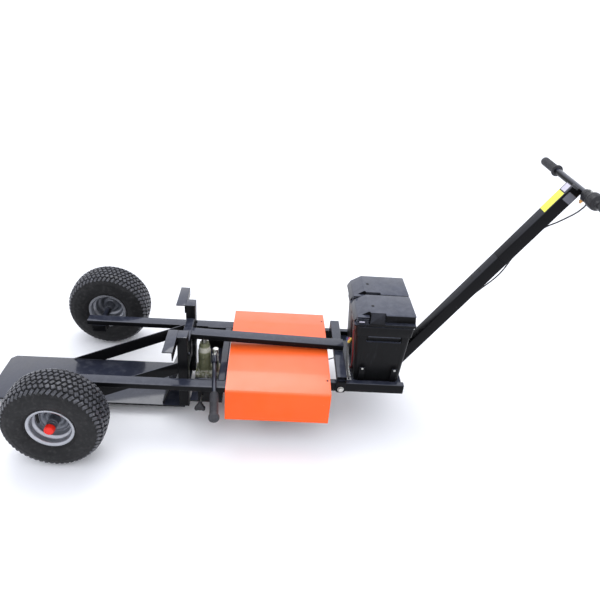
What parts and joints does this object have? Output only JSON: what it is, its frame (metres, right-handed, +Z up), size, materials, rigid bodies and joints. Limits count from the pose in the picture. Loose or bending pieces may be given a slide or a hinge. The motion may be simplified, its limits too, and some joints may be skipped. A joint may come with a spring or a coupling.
{
  "type": "walk-behind aircraft pushback tractor",
  "caption": "Walk-behind electric pushback tractor: a low nose-wheel deck on a jacked lever, turf-tyred load wheels, a covered drive unit, battery boxes and a sloping handle with a throttle.",
  "frame": {"origin": "middle of the footprint at ground level: half way along and across, at the height where the tyres touch the ground", "axes": "+X towards the operator's handle (the deck is at -X), +Y to the operator's right when facing the deck, +Z up"},
  "size_m": [2.293, 0.912, 1.079],
  "materials": {
    "frame_paint": "gloss black paint",
    "cover_paint": "gloss orange paint",
    "tyre_rubber": "black rubber",
    "grip_rubber": "moulded rubber",
    "rim_metal": "silver paint",
    "bright_steel": "zinc plated",
    "red_cap": "red plastic",
    "box_plastic": "textured black plastic",
    "jack_paint": "olive paint",
    "battery_block": "plain block",
    "cord_grey": "sheathed cord",
    "cord_white": "sheathed cord",
    "cord_red": "sheathed cord"
  },
  "bodies": {
    "chassis": {"rail_left": "frame_paint", "rail_right": "frame_paint", "front_cross_member": "frame_paint", "rear_cross_member": "frame_paint", "stub_axle_left": "frame_paint", "stub_axle_right": "frame_paint", "jack_cradle": "frame_paint", "drive_mount": "frame_paint", "battery_tray": "frame_paint", "column_foot": "frame_paint", "column_lower": "frame_paint", "column_upper": "frame_paint", "handlebar": "frame_paint", "drive_cover": "cover_paint", "grip_left": "grip_rubber", "grip_right": "grip_rubber", "pump_plunger": "bright_steel", "pivot_bolt_left": "bright_steel", "pivot_bolt_right": "bright_steel", "battery_box_left": "box_plastic", "battery_box_right": "box_plastic", "battery_lid_left": "box_plastic", "battery_lid_right": "box_plastic", "throttle_housing": "box_plastic", "release_valve": "box_plastic", "lead_connector": "box_plastic", "jack_body": "jack_paint", "battery_left": "battery_block", "battery_right": "battery_block", "drive_gearbox": "battery_block", "drive_motor": "battery_block", "throttle_cable": "cord_grey", "battery_lead_grey": "cord_grey", "battery_lead_white": "cord_white", "battery_lead_red": "cord_red"},
    "lift_arm": {"deck_plate": "frame_paint", "nose_posts": "frame_paint", "stop_angle_left": "frame_paint", "stop_angle_right": "frame_paint", "brace_left": "frame_paint", "brace_right": "frame_paint", "back_plate": "frame_paint", "lift_lever": "frame_paint", "pivot_yoke": "frame_paint"},
    "jack_lift": {"jack_ram": "bright_steel"},
    "pump": {"pump_handle": "frame_paint", "pump_grip": "grip_rubber"},
    "load_wheel_left": {"tyre_left": "tyre_rubber", "rim_left": "rim_metal", "hub_cap_left": "red_cap"},
    "load_wheel_right": {"tyre_right": "tyre_rubber", "rim_right": "rim_metal", "hub_cap_right": "red_cap"},
    "drive_wheel_left": {"drive_tyre_left": "tyre_rubber", "drive_hub_left": "rim_metal"},
    "drive_wheel_right": {"drive_tyre_right": "tyre_rubber", "drive_hub_right": "rim_metal"}
  },
  "joints": [
    {"name": "lift", "type": "hinge", "parent": "chassis", "child": "lift_arm", "pos_m": [0.3155, 0, 0.222], "axis": [0, 1, 0], "range_deg": [0, 6]},
    {"name": "jack_stroke", "type": "slide", "parent": "chassis", "child": "jack_lift", "axis": [0, 0, 1], "range_m": [0, 0.0597]},
    {"name": "pump_swing", "type": "hinge", "parent": "chassis", "child": "pump", "pos_m": [-0.2045, -0.034, 0.2385], "axis": [-1, 0, 0], "range_deg": [0, 38]},
    {"name": "load_wheel_left_spin", "type": "hinge", "parent": "chassis", "child": "load_wheel_left", "pos_m": [-0.7525, -0.381, 0.19], "axis": [0, 1, 0], "continuous": true},
    {"name": "load_wheel_right_spin", "type": "hinge", "parent": "chassis", "child": "load_wheel_right", "pos_m": [-0.7525, 0.381, 0.19], "axis": [0, 1, 0], "continuous": true},
    {"name": "drive_wheel_left_spin", "type": "hinge", "parent": "chassis", "child": "drive_wheel_left", "pos_m": [0.0675, -0.115, 0.125], "axis": [0, 1, 0], "continuous": true},
    {"name": "drive_wheel_right_spin", "type": "hinge", "parent": "chassis", "child": "drive_wheel_right", "pos_m": [0.0675, 0.115, 0.125], "axis": [0, 1, 0], "continuous": true}
  ],
  "couplings": [
    {"joint": "jack_stroke", "follows": "lift", "m_per_rad": 0.569}
  ]
}
